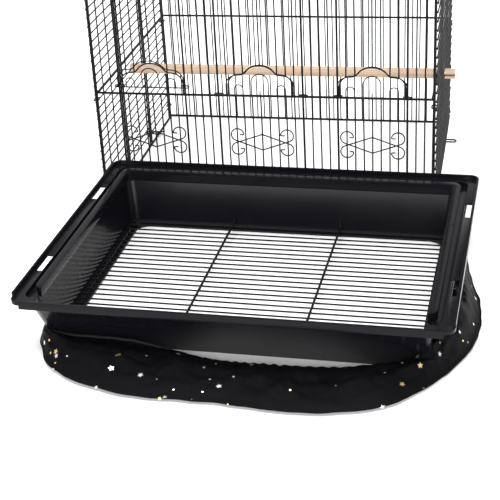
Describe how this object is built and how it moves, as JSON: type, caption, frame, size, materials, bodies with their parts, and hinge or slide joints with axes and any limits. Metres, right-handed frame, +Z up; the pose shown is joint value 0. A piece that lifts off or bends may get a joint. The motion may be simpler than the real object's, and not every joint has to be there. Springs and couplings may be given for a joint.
{
  "type": "bird cage",
  "caption": "Wire bird cage standing behind its detached black base tray, with a floor grate, wooden perches and a sheer seed skirt round the tray.",
  "frame": {"origin": "on the floor, under the middle of the whole group's box", "axes": "+X to the right along the tray's long side, +Y from the tray back towards the cage, +Z up"},
  "size_m": [0.5546, 0.833, 0.6052],
  "materials": {
    "black_wire": "satin powder coat",
    "tray_plastic": "moulded, semi-gloss",
    "perch_wood": "raw sanded softwood",
    "organza": "sheer with foil stars and dots",
    "elastic": "woven elastic"
  },
  "bodies": {
    "tray": {"base_tray": "tray_plastic", "seed_skirt": "organza", "skirt_elastic": "elastic"},
    "grate": {"floor_grate": "black_wire", "grate_cross_left": "black_wire", "grate_cross_right": "black_wire"},
    "cage": {"front_panel": "black_wire", "back_panel": "black_wire", "left_panel": "black_wire", "right_panel": "black_wire", "roof_panel": "black_wire", "corner_hooks": "black_wire", "scroll_left": "black_wire", "scroll_middle": "black_wire", "scroll_right": "black_wire", "tray_clip_left_front": "black_wire", "tray_clip_left_rear": "black_wire", "tray_clip_right_front": "black_wire", "tray_clip_right_rear": "black_wire", "lower_perch": "perch_wood", "upper_perch": "perch_wood"},
    "feeder_left": {"feeder_door_left": "black_wire"},
    "feeder_middle": {"feeder_door_middle": "black_wire"},
    "feeder_right": {"feeder_door_right": "black_wire"},
    "door": {"main_door": "black_wire"},
    "hatch": {"roof_hatch": "black_wire"}
  },
  "joints": [
    {"name": "cage_lift", "type": "slide", "parent": "tray", "child": "cage", "axis": [0, 0, 1], "range_m": [0, 0.12]},
    {"name": "grate_lift", "type": "slide", "parent": "tray", "child": "grate", "axis": [0, 0, 1], "range_m": [0, 0.1]},
    {"name": "feeder_left_slide", "type": "slide", "parent": "cage", "child": "feeder_left", "axis": [0, 0, 1], "range_m": [-0.007, 0.045]},
    {"name": "feeder_middle_slide", "type": "slide", "parent": "cage", "child": "feeder_middle", "axis": [0, 0, 1], "range_m": [0, 0.05]},
    {"name": "feeder_right_slide", "type": "slide", "parent": "cage", "child": "feeder_right", "axis": [0, 0, 1], "range_m": [0, 0.05]},
    {"name": "main_door_swing", "type": "hinge", "parent": "cage", "child": "door", "pos_m": [-0.10662, 0.05001, 0.415], "axis": [0, 0, 1], "range_deg": [-85, 0]},
    {"name": "roof_hatch_swing", "type": "hinge", "parent": "cage", "child": "hatch", "pos_m": [-0.03523, 0.31897, 0.5987], "axis": [-0.9997, -0.0262, 0], "range_deg": [0, 90]}
  ]
}
